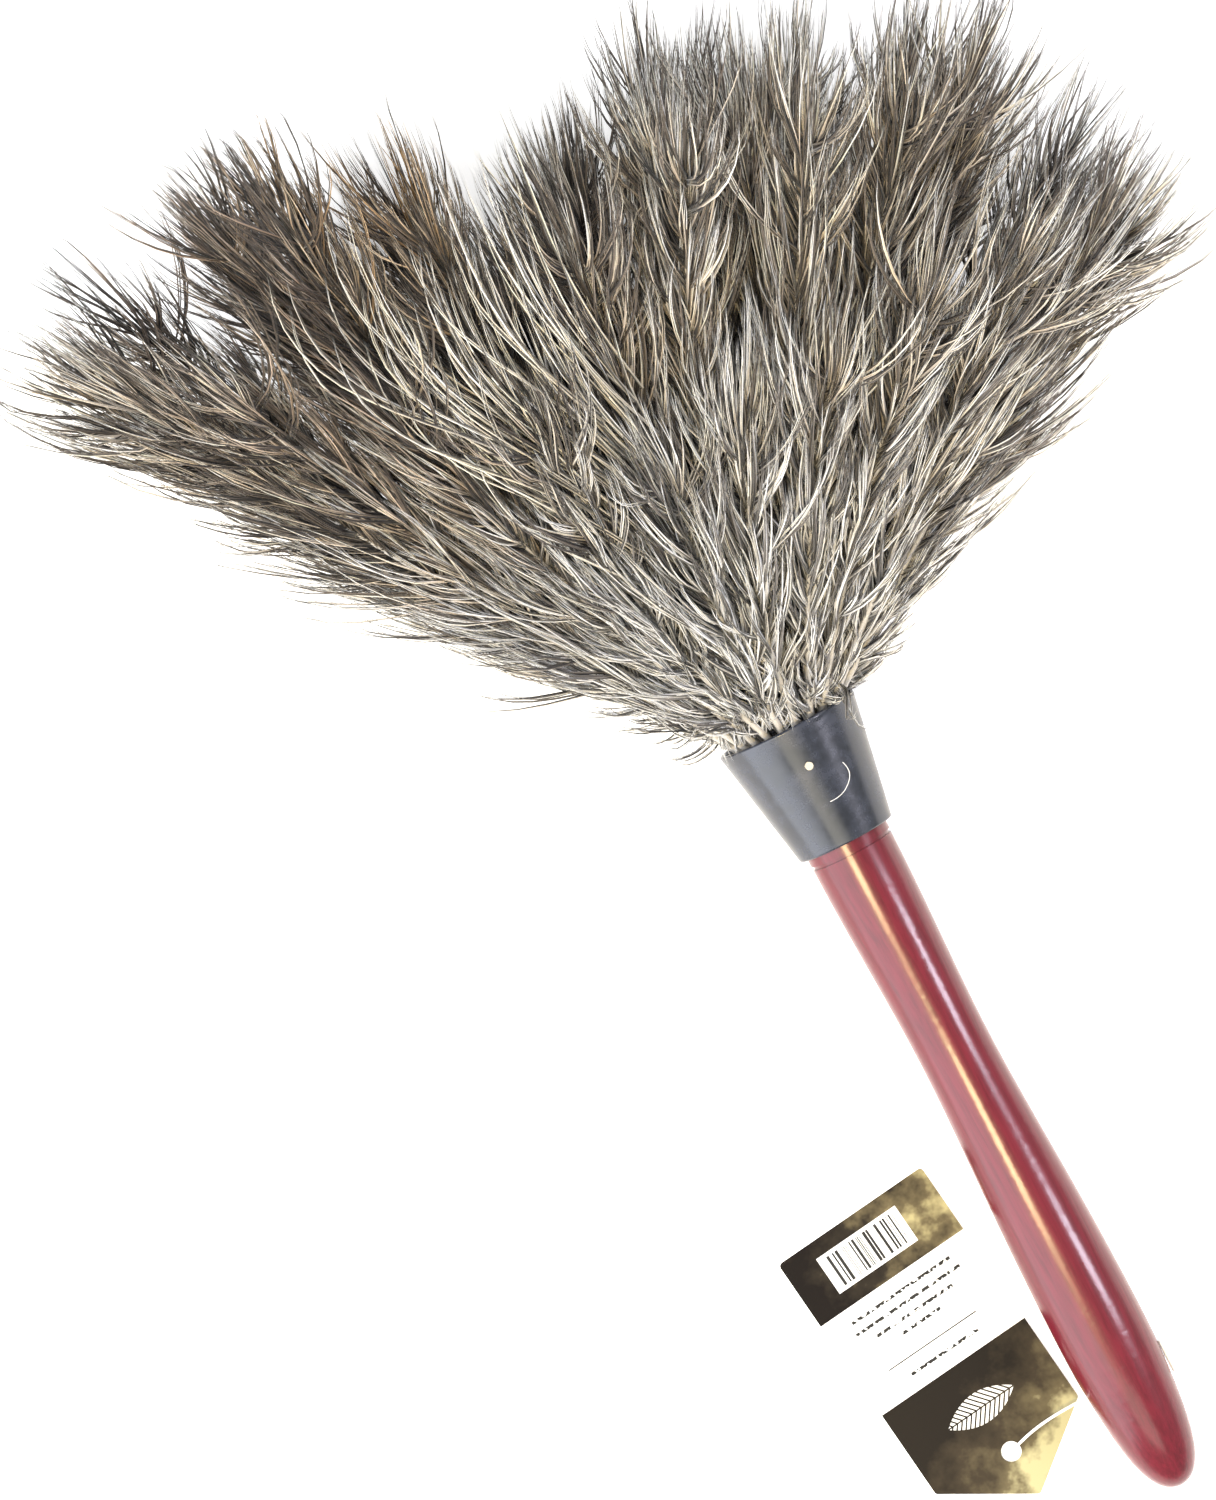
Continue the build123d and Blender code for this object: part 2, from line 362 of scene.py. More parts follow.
def ring_tubes(paths, radii, sides, colours):
    """Closed tubes along many paths at once, each ending in a point.

    paths is (n, k, 3), radii (n, k - 1), colours (n, k, 3). Gives vertices, faces by size and colours.
    """
    n, k, _ = paths.shape
    along = unit(np.gradient(paths, axis=1))
    chord = unit(paths[:, -1] - paths[:, 0])
    helper = np.where(np.abs(chord[:, 2:3]) < 0.9, UP, np.array([1.0, 0.0, 0.0]))
    across = unit(np.cross(along, helper[:, None, :]))
    lift = np.cross(along, across)
    angles = (np.arange(sides) * 2 * pi / sides)[:, None]
    ring = across[:, :-1, None, :] * np.cos(angles) + lift[:, :-1, None, :] * np.sin(angles)
    rings = paths[:, :-1, None, :] + ring * radii[:, :, None, None]
    per = (k - 1) * sides + 1
    vertices = np.concatenate([rings.reshape(n, -1, 3), paths[:, -1:, :]], axis=1)
    tints = np.concatenate([np.repeat(colours[:, :-1], sides, axis=1), colours[:, -1:]], axis=1)
    level, side = np.meshgrid(np.arange(k - 2), np.arange(sides), indexing="ij")
    turn = (side + 1) % sides
    here, above = level * sides, (level + 1) * sides
    quads = np.stack([here + side, here + turn, above + turn, above + side], -1).reshape(-1, 4)
    last = (k - 2) * sides
    one = np.arange(sides)
    ends = np.stack([last + one, last + (one + 1) % sides, np.full(sides, per - 1)], -1)
    caps = np.arange(sides)[::-1]
    starts = (np.arange(n) * per)[:, None, None]
    faces = [(quads + starts).reshape(-1, 4), (ends + starts).reshape(-1, 3)]
    faces.append((caps + starts[:, 0]).reshape(-1, sides))
    return vertices.reshape(-1, 3), faces, tints.reshape(-1, 3)


def mesh_of(name, parts):
    """One mesh from several ring_tubes results, with its colours as the attribute coat."""
    vertices, tints, loops, sizes = [], [], [], []
    offset = 0
    for points, groups, colours in parts:
        vertices.append(points)
        tints.append(colours)
        for faces in groups:
            loops.append((faces + offset).ravel())
            sizes.append(np.full(len(faces), faces.shape[1]))
        offset += len(points)
    vertices, tints = np.concatenate(vertices), np.concatenate(tints)
    loops, sizes = np.concatenate(loops), np.concatenate(sizes)
    mesh = bpy.data.meshes.new(name)
    mesh.vertices.add(len(vertices))
    mesh.vertices.foreach_set("co", vertices.astype(np.float32).ravel())
    mesh.loops.add(len(loops))
    mesh.loops.foreach_set("vertex_index", loops.astype(np.int32))
    mesh.polygons.add(len(sizes))
    first = np.concatenate([[0], np.cumsum(sizes)[:-1]]).astype(np.int32)
    mesh.polygons.foreach_set("loop_start", first)
    mesh.polygons.foreach_set("use_smooth", np.ones(len(sizes), bool))
    mesh.update(calc_edges=True)
    coat = mesh.color_attributes.new("coat", "FLOAT_COLOR", "POINT")
    rgba = np.concatenate([tints, np.ones((len(tints), 1))], axis=1)
    coat.data.foreach_set("color", rgba.astype(np.float32).ravel())
    return mesh


def bezier(a, b, c, d, count):
    """Points along many cubic curves at once."""
    t = np.linspace(0, 1, count)[None, :, None]
    a, b, c, d = (p[:, None, :] for p in (a, b, c, d))
    return a * (1 - t) ** 3 + 3 * b * t * (1 - t) ** 2 + 3 * c * t**2 * (1 - t) + d * t**3


def hair_taper(count):
    """A hair's width at each of its rings, as a share of its widest."""
    return np.interp(np.linspace(0, 1, count), np.linspace(0, 1, len(HAIR_TAPER)), HAIR_TAPER)


def heading(points):
    """Angle from the handle's line to the right, in degrees, and distance from the mouth, seen from above."""
    flat = points[..., :2] - MOUTH[:2]
    return np.degrees(np.arctan2(flat[..., 0], flat[..., 1])), np.linalg.norm(flat, axis=-1)


def bump(x, centre, width):
    """A smooth hump of height one."""
    return np.exp(-(((x - centre) / width) ** 2))


def ease(x, start, full):
    """Nought at start, one at full, and level beyond them."""
    return np.clip((x - start) / (full - start), 0, 1)


def patches(table, angle, reach):
    """How strong a table's patches are together, at places given by angle and distance."""
    return sum(
        strength * bump(angle, centre, width) * ease(reach, start, full)
        for strength, centre, width, start, full in table
    )


def spots(table, angle, reach):
    """How strong a table's spots are together, at places given by angle and distance."""
    return sum(
        strength * bump(angle, centre, width) * bump(reach, place, depth)
        for strength, centre, width, place, depth in table
    )


def feather_course(name):
    """Where a feather's quill starts, where it bends at the mouth, and where its vane ends."""
    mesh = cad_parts[name].data
    points = np.empty(len(mesh.vertices) * 3, np.float32)
    mesh.vertices.foreach_get("co", points)
    points = points.reshape(-1, 3).astype(float)
    c, s = cos(HANDLE_TILT), sin(HANDLE_TILT)
    local = (points - MOUTH) @ np.array([[1, 0, 0], [0, c, -s], [0, s, c]])
    root = local[local[:, 1] < local[:, 1].min() + ROOT_DEPTH].mean(axis=0)
    far = np.linalg.norm(points - MOUTH, axis=1)
    tip = points[far > far.max() - TIP_DEPTH].mean(axis=0)
    angle, _ = heading(tip)
    turn = radians(sum(degrees * bump(angle, *place) for degrees, *place in FLANK_TURNS))
    x, y, z = tip - MOUTH
    turned = np.array([x * cos(turn) + y * sin(turn), y * cos(turn) - x * sin(turn), z])
    grow = np.interp(heading(MOUTH + turned)[0], *zip(*OUTLINE))
    return on_handle(*root), on_handle(root[0], QUILL_BEND, root[2]), MOUTH + turned * grow


def coat_of(points, rng):
    """For each tuft, its main colour, the colour of its ends and its share of barbs painted nearly black as
    shadow, by place.
    """
    angle, reach = heading(points)
    near = ease(reach, *NEAR_MOUTH)
    noise = (rng.random((len(points), 3)) - 0.5) * COAT_NOISE
    dark = np.clip(patches(DARK_PATCHES, angle, reach) * (1 - near) + noise[:, 0], 0, 1)
    gold = np.clip(patches(GOLD_PATCHES, angle, reach) * (1 - near) + noise[:, 1], 0, 1)
    pale = 0.35 - 0.3 * dark + patches(PALE_PATCHES, angle, reach) + 0.7 * near + noise[:, 2]
    pale = np.clip(pale, 0, 1)
    # painted shade under the long barbs: a darker coat, less pale ends and more shadow barbs
    streamer_shade = patches(STREAMER_SHADE_PATCHES, angle, reach) * ease(reach, *STREAMER_SHADE_FADE)
    light = patches(LIGHT_PATCHES, angle, reach) + spots(LIGHT_SPOTS, angle, reach)
    brown = patches(BROWN_PATCHES, angle, reach)
    # share of barbs painted nearly black as shadow between barbs: more where the coat is dark and under the
    # long barbs
    shadow_barb_share = 0.42 - 0.14 * near + 0.18 * dark + 0.25 * streamer_shade - 0.22 * light

    near, dark, gold, pale, streamer_shade, light, brown = (
        values[:, None] for values in (near, dark, gold, pale, streamer_shade, light, brown)
    )
    main = TAUPE + (DARK_BROWN - TAUPE) * dark
    main = main + (GOLD - main) * gold * 0.7
    main = main + (GREY_WHITE - main) * np.clip(near * 0.95 + pale * 0.25, 0, 1)
    main = main * (1 - 0.72 * streamer_shade)
    ends = main + (CREAM - main) * (0.15 + 0.85 * pale) * (1 - 0.6 * streamer_shade)
    tint = (1 + 0.35 * light) * (1 - brown * BROWN_LOSS)
    return main * tint, ends * tint, shadow_barb_share


def openness(points):
    """How near the head's surface points are, from nought deep inside it to one."""
    away = points - MOUTH
    reach = np.linalg.norm(away, axis=1)
    rise = np.degrees(np.arcsin(away[:, 2] / np.maximum(reach, 1e-6)))
    angle, _ = heading(points)
    out = np.hypot((angle - FAN_CENTRE) / FAN_HALF_WIDTH, (rise - FAN_LIFT) / FAN_HALF_HEIGHT)
    near = np.minimum(ease(reach, *OPEN_MOUTH), MOUTH_LIGHT)
    return np.maximum.reduce([ease(out, *OPEN_RIM), ease(reach, *OPEN_FRONT), near])


def read_along(values, at):
    """Values given along a shaft, read at the places at."""
    places = np.linspace(0, 1, len(values))
    return np.stack([np.interp(at, places, values[:, i]) for i in range(3)], axis=1)


def tufts_of(shaft, frames, side, rng):
    """The tufts on one side of a feather: places along it, bases, tips, and their direction as a function."""
    tangents, sides, normals = frames
    tufts = TUFTS_PER_SIDE
    t = (np.arange(tufts) + rng.random(tufts)) / tufts
    t = FIRST_TUFT + (1 - FIRST_TUFT) * t**TUFT_CROWDING
    roll = np.radians(TUFT_ROLL * (2 * rng.random(tufts) - 1))
    base, tangent = read_along(shaft, t), unit(read_along(tangents, t))
    out = unit(read_along(sides, t)) * side * np.cos(roll)[:, None]
    out = out + unit(read_along(normals, t)) * np.sin(roll)[:, None]
    grow = np.sin(0.5 * pi * np.minimum(1, t / FULL_LENGTH_FROM))
    reach = BARB_LENGTH * (START_LENGTH + (1 - START_LENGTH) * grow) * (1 - END_LOSS * t**2)
    reach = reach * (LEAST_LENGTH + LENGTH_RANGE * rng.random(tufts))
    reach = reach * (1 + LONG_MORE * bump(heading(base)[0], *LONG_PATCH))
    hang, end = ease(t, HANGS_BEFORE, 0), ease(t, FANS_FROM, 1)
    spread = TUFT_SPREAD + END_SPREAD * end
    lean = TUFT_LEAN + END_LEAN * end + HANGING_LEAN * hang + spread * (rng.random(tufts) - 0.5)
    lean = np.radians(lean)

    def aim(share):
        """A tuft's direction at a share of its lean."""
        return unit(tangent * np.cos(lean * share)[:, None] + out * np.sin(lean * share)[:, None])

    curl = rng.normal(0, 1, (tufts, 3)) * (reach * (TIP_STRAY + HANGING_STRAY * hang))[:, None]
    tip = base + aim(WHOLE_AIM) * reach[:, None] + curl
    tip[:, 2] -= TIP_SAG * reach * rng.random(tufts)
    return t, base, tip, aim


def barbs_of(shaft, tufts, rng):
    """The four points of each barb's curve, and its way: it has its own start and meets its tuft's tip."""
    t_tuft, base, tip, aim = tufts
    tuft = np.repeat(np.arange(TUFTS_PER_SIDE), BARBS_PER_TUFT)
    count = len(tuft)
    spacing = 0.97 / TUFTS_PER_SIDE
    start = read_along(shaft, np.clip(t_tuft[tuft] + spacing * (rng.random(count) - 0.5) * 1.6, 0.01, 1))
    blunt = (TUFT_BLUNT + END_BLUNT * ease(t_tuft, FANS_FROM, 1))[tuft][:, None]
    finish = tip[tuft] + rng.normal(0, 1, (count, 3)) * blunt + (start - base[tuft]) * 0.5
    way = finish - start
    length = np.linalg.norm(way, axis=1)[:, None]
    finish = start + way * (LEAST_BARB + BARB_RANGE * rng.random((count, 1)))
    sway = rng.normal(0, BARB_SWAY, (count, 3)) * length
    first = start + aim(START_AIM)[tuft] * length * START_PULL + sway * 0.6
    second = finish - aim(END_AIM)[tuft] * length * END_PULL + sway
    return start, first, second, finish, way / length


def hairs_of(barbs, rng):
    """Fine lines around each barb, a little shorter than it."""
    start, first, second, finish, way = barbs
    hair = np.repeat(np.arange(len(start)), HAIRS_PER_BARB)
    fray = [rng.normal(0, HAIR_FRAY, (len(hair), 3)) for _ in range(4)]
    short = way[hair] * HAIR_SHORTFALL * rng.random((len(hair), 1))
    return bezier(
        start[hair] + fray[0],
        first[hair] + fray[1] * 1.6,
        second[hair] + fray[2] * 1.6,
        finish[hair] + fray[3] * 1.5 - short,
        HAIR_POINTS,
    )


def hair_colours(tip, rng):
    """Colours along each hair: painted shade at its start and deep in the head, with some barbs painted
    nearly black throughout as shadow.
    """
    tuft = np.repeat(np.arange(TUFTS_PER_SIDE), BARBS_PER_TUFT)
    count = len(tuft)
    hair = np.repeat(np.arange(count), HAIRS_PER_BARB)
    main, pale_ends, shadow_barb_share = coat_of(tip, rng)
    darkest, range_of_tones = BARB_TONES
    tone = darkest + range_of_tones * rng.random((count, 1))
    # these barbs are painted shadow, nearly black from end to end
    is_shadow_barb = (rng.random(count) < shadow_barb_share[tuft])[:, None]
    low = main[tuft] * tone
    low = np.where(is_shadow_barb, SHADOW_BROWN + (low - SHADOW_BROWN) * SHADOW_BARB_TINT, low)
    high = np.where(is_shadow_barb, low * SHADOW_BARB_END, pale_ends[tuft] * tone)
    share = np.linspace(0, 1, HAIR_POINTS)[None, :, None]
    shade = START_SHADE + (1 - START_SHADE) * ease(share, 0, SHADED_SHARE)
    shade = shade * (DEEP_SHADE + (1 - DEEP_SHADE) * openness(tip))[tuft][hair][:, None, None]
    # painted light and shade across the hairs of each barb
    shade = shade * np.tile(HAIR_LIGHT_AND_SHADE, count)[:, None, None]
    lit = ease(share, *LIT_ENDS)
    colours = (low[hair][:, None, :] * (1 - lit) + high[hair][:, None, :] * lit) * shade
    return np.clip(colours, 0, BRIGHTEST)


def shaft_of(root, bend, tip, rng):
    """The shaft's line, with its first points along the bound quill, and its frames."""
    way = tip - bend
    length = np.linalg.norm(way)
    way = way / length
    across = unit(np.cross(way, UP))
    lift = np.cross(across, way)
    t = np.linspace(0, 1, SHAFT_POINTS)[:, None]
    side_bow = SHAFT_BOW * bump(heading(tip)[0], *BOW_PATCH)
    bow = (rng.normal(0, BOW_NOISE, 2) + np.array((side_bow, 0.0))) * length
    line = bend + way * length * SHAFT_SHARE * t + (across * bow[0] + lift * bow[1]) * np.sin(pi * t) * 0.5
    line[:, 2:3] -= SHAFT_DROOP * length * t**3
    quill = unit(bend - root)
    line = line + (quill * 0.004) * ease(t, 0.10, 0) ** 2 * t * 3
    tangents = unit(np.gradient(line, axis=0))
    sides = unit(np.cross(tangents, UP))
    normals = np.cross(sides, tangents)
    return line, (tangents, sides, normals)


def keep_in_bounds(paths, rng):
    """Draws far barbs back towards the head and lifts low ones off the floor."""
    for axis, limit in ((0, SIDE_EASE), (1, FRONT_EASE)):
        past = np.maximum(np.abs(paths[..., axis]) - limit, 0)
        paths[..., axis] -= np.sign(paths[..., axis]) * past * (1 - SQUEEZE)
    lowest = FLOOR_GAP + HAIR_WIDTH * rng.random(paths.shape[:2])
    paths[..., 2] = np.maximum(paths[..., 2], lowest)


def make_feather(name, seed):
    """One feather: its quill and shaft, and its barbs in tufts on both sides."""
    rng = np.random.default_rng(seed)
    root, bend, tip = feather_course(name)
    line, frames = shaft_of(root, bend, tip, rng)
    path = np.concatenate([np.linspace(root, bend, QUILL_POINTS)[:-1], line])[None]
    radii = np.interp(np.linspace(0, 1, path.shape[1] - 1), *zip(*SHAFT_TAPER))[None]
    shaft_colours = np.repeat(SHAFT_PALE[None, None], path.shape[1], axis=1)
    parts = [ring_tubes(path, radii, SHAFT_SIDES, shaft_colours)]
    for side in (-1, 1):
        tufts = tufts_of(line, frames, side, rng)
        paths = hairs_of(barbs_of(line, tufts, rng), rng)
        colours = hair_colours(tufts[2], rng)
        keep_in_bounds(paths, rng)
        width = HAIR_WIDTH / 2 * (0.8 + 0.4 * rng.random((len(paths), 1)))
        parts.append(ring_tubes(paths, width * hair_taper(HAIR_POINTS - 1), HAIR_SIDES, colours))
    plume = bpy.data.objects.new("plume" + name.removeprefix("feather"), mesh_of(name + "_plume", parts))
    bpy.context.scene.collection.objects.link(plume)
    plume.data.materials.append(FEATHER)
    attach(plume, "duster")
    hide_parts(name)


# Long cream barbs over the middle, by angles in degrees and distances from the mouth: where they start, how
# long they run, how far they sweep left and hook back, and how their ends splay
STREAMER_COUNT = 84
STREAMER_POINTS = 12
STREAMER_WIDTH = 0.00052
STREAMER_ANGLES = (-19, 4)
STREAMER_STARTS = (0.050, 0.095)
STREAMER_RUNS = (0.055, 0.085)
STREAMER_SWEEPS = (12, 26)
STREAMER_HOOKS = (4, 24)
STREAMER_SPLAYS = (-1, 5)
STREAMER_TONES = (0.75, 1.05)
STREAMER_CREAMS = (0.70, 1.0)
# Their height over the mouth far out, how soon they reach it, and how it varies
STREAMER_LIFT = 0.108
STREAMER_RISE = 0.09
STREAMER_HEIGHTS = (-0.006, 0.004)

CURL_COUNT = 150
CURL_SIZES = (0.006, 0.015)
CURL_RINGS = (0.55, 0.95)
CURL_TONES = (0.5, 1.0)
CURL_DEPTH = 0.0015


def add_barbs(name, paths, colours, width, rng):
    """A piece of loose barbs, each drawn as a few hairs around its path."""
    hair = np.repeat(np.arange(len(paths)), HAIRS_PER_BARB)
    apart = rng.normal(0, width * 0.5, (len(hair), 1, 3))
    hairs = paths[hair] + apart + rng.normal(0, width * 0.2, paths[hair].shape)
    # each barb's hairs get a painted highlight, a plain tone and painted shadow
    tints = np.clip(colours[hair] * np.tile(HAIR_LIGHT_AND_SHADE, len(paths))[:, None, None], 0, BRIGHTEST)
    radii = np.repeat((width / 2 * hair_taper(paths.shape[1] - 1))[None], len(hairs), axis=0)
    piece = bpy.data.objects.new(name, mesh_of(name, [ring_tubes(hairs, radii, HAIR_SIDES, tints)]))
    bpy.context.scene.collection.objects.link(piece)
    piece.data.materials.append(FEATHER)
    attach(piece, "duster")


def level_way(angle):
    """Level directions from angles off the handle's line, in degrees."""
    angle = np.radians(angle)
    return np.stack([np.sin(angle), np.cos(angle), np.zeros(len(angle))], axis=1)


def make_streamers():
    """Long cream barbs that sweep left over the middle of the head and turn up at their ends."""
    rng = np.random.default_rng(7)
    count = STREAMER_COUNT
    angle = rng.uniform(*STREAMER_ANGLES, count)
    start = rng.uniform(*STREAMER_STARTS, count)
    run = rng.uniform(*STREAMER_RUNS, count)
    sweep = rng.uniform(*STREAMER_SWEEPS, count)
    hook = rng.uniform(*STREAMER_HOOKS, count)
    first = level_way(angle) * start[:, None]
    second = first + level_way(angle - sweep) * run[:, None] * 0.45
    fourth = level_way(angle - rng.uniform(*STREAMER_SPLAYS, count)) * (start + run)[:, None]
    third = fourth - level_way(hook) * run[:, None] * 0.40
    paths = bezier(first, second, third, fourth, STREAMER_POINTS)
    reach = np.linalg.norm(paths[..., :2], axis=2)
    lift = STREAMER_LIFT * (1 - np.exp(-reach / STREAMER_RISE))
    paths[..., 2] = lift + rng.uniform(*STREAMER_HEIGHTS, (count, 1))
    share = np.linspace(0, 1, STREAMER_POINTS)[None, :, None]
    tone = rng.uniform(*STREAMER_TONES, (count, 1, 1))
    tint = GOLD + (CREAM - GOLD) * rng.uniform(*STREAMER_CREAMS, (count, 1, 1))
    # painted shade towards the start of each long barb, where it lies within the head
    colours = tint * tone * (0.45 + 0.55 * ease(share, 0, 0.4))
    add_barbs("long_barbs", paths + MOUTH, colours, STREAMER_WIDTH, rng)


def make_mouth_curls():
    """Short curled barbs that stand out of the collar's mouth between the quills."""
    rng = np.random.default_rng(8)
    count = CURL_COUNT
    turn = rng.uniform(0, 2 * pi, count)
    ring = rng.uniform(*CURL_RINGS, count) * COLLAR_MOUTH_RADIUS
    root = np.stack([on_handle(r * cos(a), CURL_DEPTH, r * sin(a)) for r, a in zip(ring, turn)])
    ahead = on_handle(0, 1, 0) - on_handle(0, 0, 0)
    out = np.stack([on_handle(cos(a), 0, sin(a)) - on_handle(0, 0, 0) for a in turn])
    size = rng.uniform(*CURL_SIZES, (count, 1))
    side = np.cross(out, ahead) * rng.uniform(-1, 1, (count, 1))
    second = root + (ahead * 0.9 + side * 0.5) * size
    third = root + (ahead * rng.uniform(0.2, 1.2, (count, 1)) + out * 0.7 + side) * size
    onward, outward = rng.uniform(-0.3, 0.9, (count, 1)), rng.uniform(0.3, 0.9, (count, 1))
    fourth = root + (ahead * onward + out * outward) * size + side * size * 0.6
    paths = bezier(root, second, third, fourth, HAIR_POINTS + 1)
    colours = GREY_WHITE * rng.uniform(*CURL_TONES, (count, 1))
    colours = np.repeat(colours[:, None, :], HAIR_POINTS + 1, axis=1)
    add_barbs("mouth_curls", paths, colours, HAIR_WIDTH * 0.8, rng)


def feather_material():
    """Soft barbs, coloured by the coat attribute with a fine mottling."""
    material, tree, shader = new_material("feather_barbs")
    coat = node(tree, "ShaderNodeAttribute", attribute_name="coat")
    grain = node(tree, "ShaderNodeTexNoise", Scale=420.0, Detail=3.0)
    shade = ramp(tree, grain.outputs["Fac"], ((0.30, (0.62, 0.62, 0.62)), (0.70, (1.0, 1.0, 1.0))))
    colour = mix_colour(tree, 1.0, coat.outputs["Color"], shade, blend="MULTIPLY")
    tree.links.new(colour, shader.inputs["Base Color"])
    shader.inputs["Roughness"].default_value = 0.55
    shader.inputs["Sheen Weight"].default_value = 0.25
    shader.inputs["Sheen Roughness"].default_value = 0.4
    return material


FEATHER = feather_material()
FEATHER_NODES = sorted(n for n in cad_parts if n.startswith("feather_"))
FIRST_SEED = 100
for number, feather_name in enumerate(FEATHER_NODES):
    make_feather(feather_name, FIRST_SEED + number)
make_streamers()
make_mouth_curls()

# ---------------------------------------------------------------- collar, handle and metal

# A loose barb on the collar: its points across and along the handle
STRAY_BARB = ((0.0006, -0.0222), (0.0038, -0.0224), (0.0078, -0.0198), (0.0090, -0.0168), (0.0082, -0.0146))
STRAY_RADIUS = 0.00010
# The wood's grain is drawn out along the handle
GRAIN_STRETCH = (1.0, 0.045, 1.0)
GRAIN_REDS = ((0.34, (0.068, 0.003, 0.007)), (0.62, (0.126, 0.006, 0.015)))
CLOUD_RED = (0.150, 0.009, 0.020)
COLLAR_BLACKS = ((0.40, (0.006, 0.008, 0.014)), (0.64, (0.020, 0.025, 0.042)))
COLLAR_SHEEN = {"From Min": 0.35, "From Max": 0.7, "To Min": 0.18, "To Max": 0.34}
STEEL_GREYS = ((0.3, (0.38, 0.38, 0.40)), (0.7, (0.52, 0.52, 0.54)))
STEEL_NODES = ("collar_brads", "binding_wire_inner", "binding_wire_middle", "binding_wire_outer")


def repaint(name, material):
    """Gives a CAD node its material."""
    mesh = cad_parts[name].data
    mesh.materials.clear()
    mesh.materials.append(material)


def lacquer_material():
    """Red lacquer over turned wood: long grain under a clear gloss."""
    material, tree, shader = new_material("red_lacquer")
    place = node(tree, "ShaderNodeTexCoord")
    stretch = node(tree, "ShaderNodeMapping", Scale=GRAIN_STRETCH)
    tree.links.new(place.outputs["Object"], stretch.inputs["Vector"])
    grain = node(tree, "ShaderNodeTexNoise", Scale=900.0, Detail=5.0, Roughness=0.65)
    tree.links.new(stretch.outputs["Vector"], grain.inputs["Vector"])
    cloud = node(tree, "ShaderNodeTexNoise", Scale=28.0, Detail=3.0)
    tree.links.new(place.outputs["Object"], cloud.inputs["Vector"])
    deep = ramp(tree, grain.outputs["Fac"], GRAIN_REDS)
    colour = mix_colour(tree, math_node(tree, "MULTIPLY", cloud.outputs["Fac"], 0.5), deep, CLOUD_RED)
    tree.links.new(colour, shader.inputs["Base Color"])
    shader.inputs["Roughness"].default_value = 0.30
    shader.inputs["Specular IOR Level"].default_value = 0.2
    shader.inputs["Coat Weight"].default_value = 0.5
    shader.inputs["Coat Roughness"].default_value = 0.19
    add_relief(tree, shader, grain, Strength=0.10, Distance=0.0004)
    return material


def collar_material():
    """Glossy blue-black plastic with a faint haze of handling marks."""
    material, tree, shader = new_material("collar_gloss")
    place = node(tree, "ShaderNodeTexCoord")
    haze = node(tree, "ShaderNodeTexNoise", Scale=110.0, Detail=6.0, Roughness=0.7)
    tree.links.new(place.outputs["Object"], haze.inputs["Vector"])
    tree.links.new(ramp(tree, haze.outputs["Fac"], COLLAR_BLACKS), shader.inputs["Base Color"])
    rough = node(tree, "ShaderNodeMapRange", **COLLAR_SHEEN)
    tree.links.new(haze.outputs["Fac"], rough.inputs["Value"])
    tree.links.new(rough.outputs["Result"], shader.inputs["Roughness"])
    shader.inputs["IOR"].default_value = 1.60
    return material


def steel_material():
    """Bright drawn steel."""
    material, tree, shader = new_material("steel_bright")
    scratch = node(tree, "ShaderNodeTexNoise", Scale=1500.0, Detail=2.0)
    tree.links.new(ramp(tree, scratch.outputs["Fac"], STEEL_GREYS), shader.inputs["Base Color"])
    shader.inputs["Metallic"].default_value = 1.0
    shader.inputs["Roughness"].default_value = 0.28
    return material


def make_stray_barb():
    """One loose barb that lies curled on the collar."""
    places = []
    for x, y in STRAY_BARB:
        surface = COLLAR_MOUTH_RADIUS + COLLAR_TAPER * y + STRAY_RADIUS
        places.append(on_handle(x, y, (surface**2 - x**2) ** 0.5))
    barb = line_curve("stray_barb", places, STRAY_RADIUS, roundness=2)
    barb.data.materials.append(NYLON)
    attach(barb, "duster")


make_stray_barb()
repaint("handle", lacquer_material())
repaint("collar", collar_material())
STEEL = steel_material()
for steel_node in STEEL_NODES:
    repaint(steel_node, STEEL)

# ---------------------------------------------------------------- the tag's print

# The tag's frame: its hole's place and its turn. Along it, from the hole to the far end, and across it, the
# print is laid out in millimetres
TAG_HOLE = (-0.0438, -0.1812, 0.0010)
TAG_TURN = radians(7)
MILLIMETRE = (0.001, 0.001, 0.001)
BEYOND_CARD = 200
WHITE_FROM = 27.0
FAR_BAND_FROM = 55.3
# Boxes of the print: left and right edges, near and far edges
LABEL = (-13.7, 11.3, 59.6, 70.6)
BAR_CODE = (-11.6, 9.4, 60.6, 69.6)
RULE = (-14.5, 13.2, 35.5, 35.85)
# Rows of dashes: their place along the tag and half their length
DASH_ROWS = ((50.8, 15.5), (47.6, 16.5), (44.4, 12.0), (41.2, 6.0), (31.0, 11.0))
DASH_HEIGHT = 0.9
# The leaf: its middle, half its width, how pointed it is, and its veins' slope, spacing and width
LEAF_CENTRE = 14.0
LEAF_HALF = 4.2
LEAF_POINT = 26.0
VEIN_SLOPE = 0.8
VEIN_SPACING = 0.75
VEIN_WIDTH = 0.28
STEM_HALF = 0.2
# Tones of the two photographic bands
FAR_TONES = (
    (0.28, (0.006, 0.005, 0.006)),
    (0.48, (0.022, 0.018, 0.014)),
    (0.66, (0.130, 0.105, 0.058)),
    (0.80, (0.420, 0.370, 0.190)),
)
NEAR_TONES = (
    (0.22, (0.012, 0.010, 0.009)),
    (0.48, (0.040, 0.031, 0.021)),
    (0.70, (0.120, 0.098, 0.055)),
    (0.86, (0.440, 0.400, 0.220)),
)
PAPER = (0.90, 0.90, 0.89)
INK = (0.03, 0.03, 0.03)
RULE_INK = (0.04, 0.04, 0.04)
LEAF_WHITE = (0.80, 0.79, 0.75)


def band(tree, value, low, high):
    """One where a value lies between two numbers, and nought elsewhere."""
    made = tree.nodes.new("ShaderNodeMath")
    made.operation = "COMPARE"
    tree.links.new(value, made.inputs[0])
    made.inputs[1].default_value = (low + high) / 2
    made.inputs[2].default_value = (high - low) / 2
    return made.outputs[0]


def both(tree, a, b):
    """One where two masks are both one."""
    return math_node(tree, "MULTIPLY", a, b)


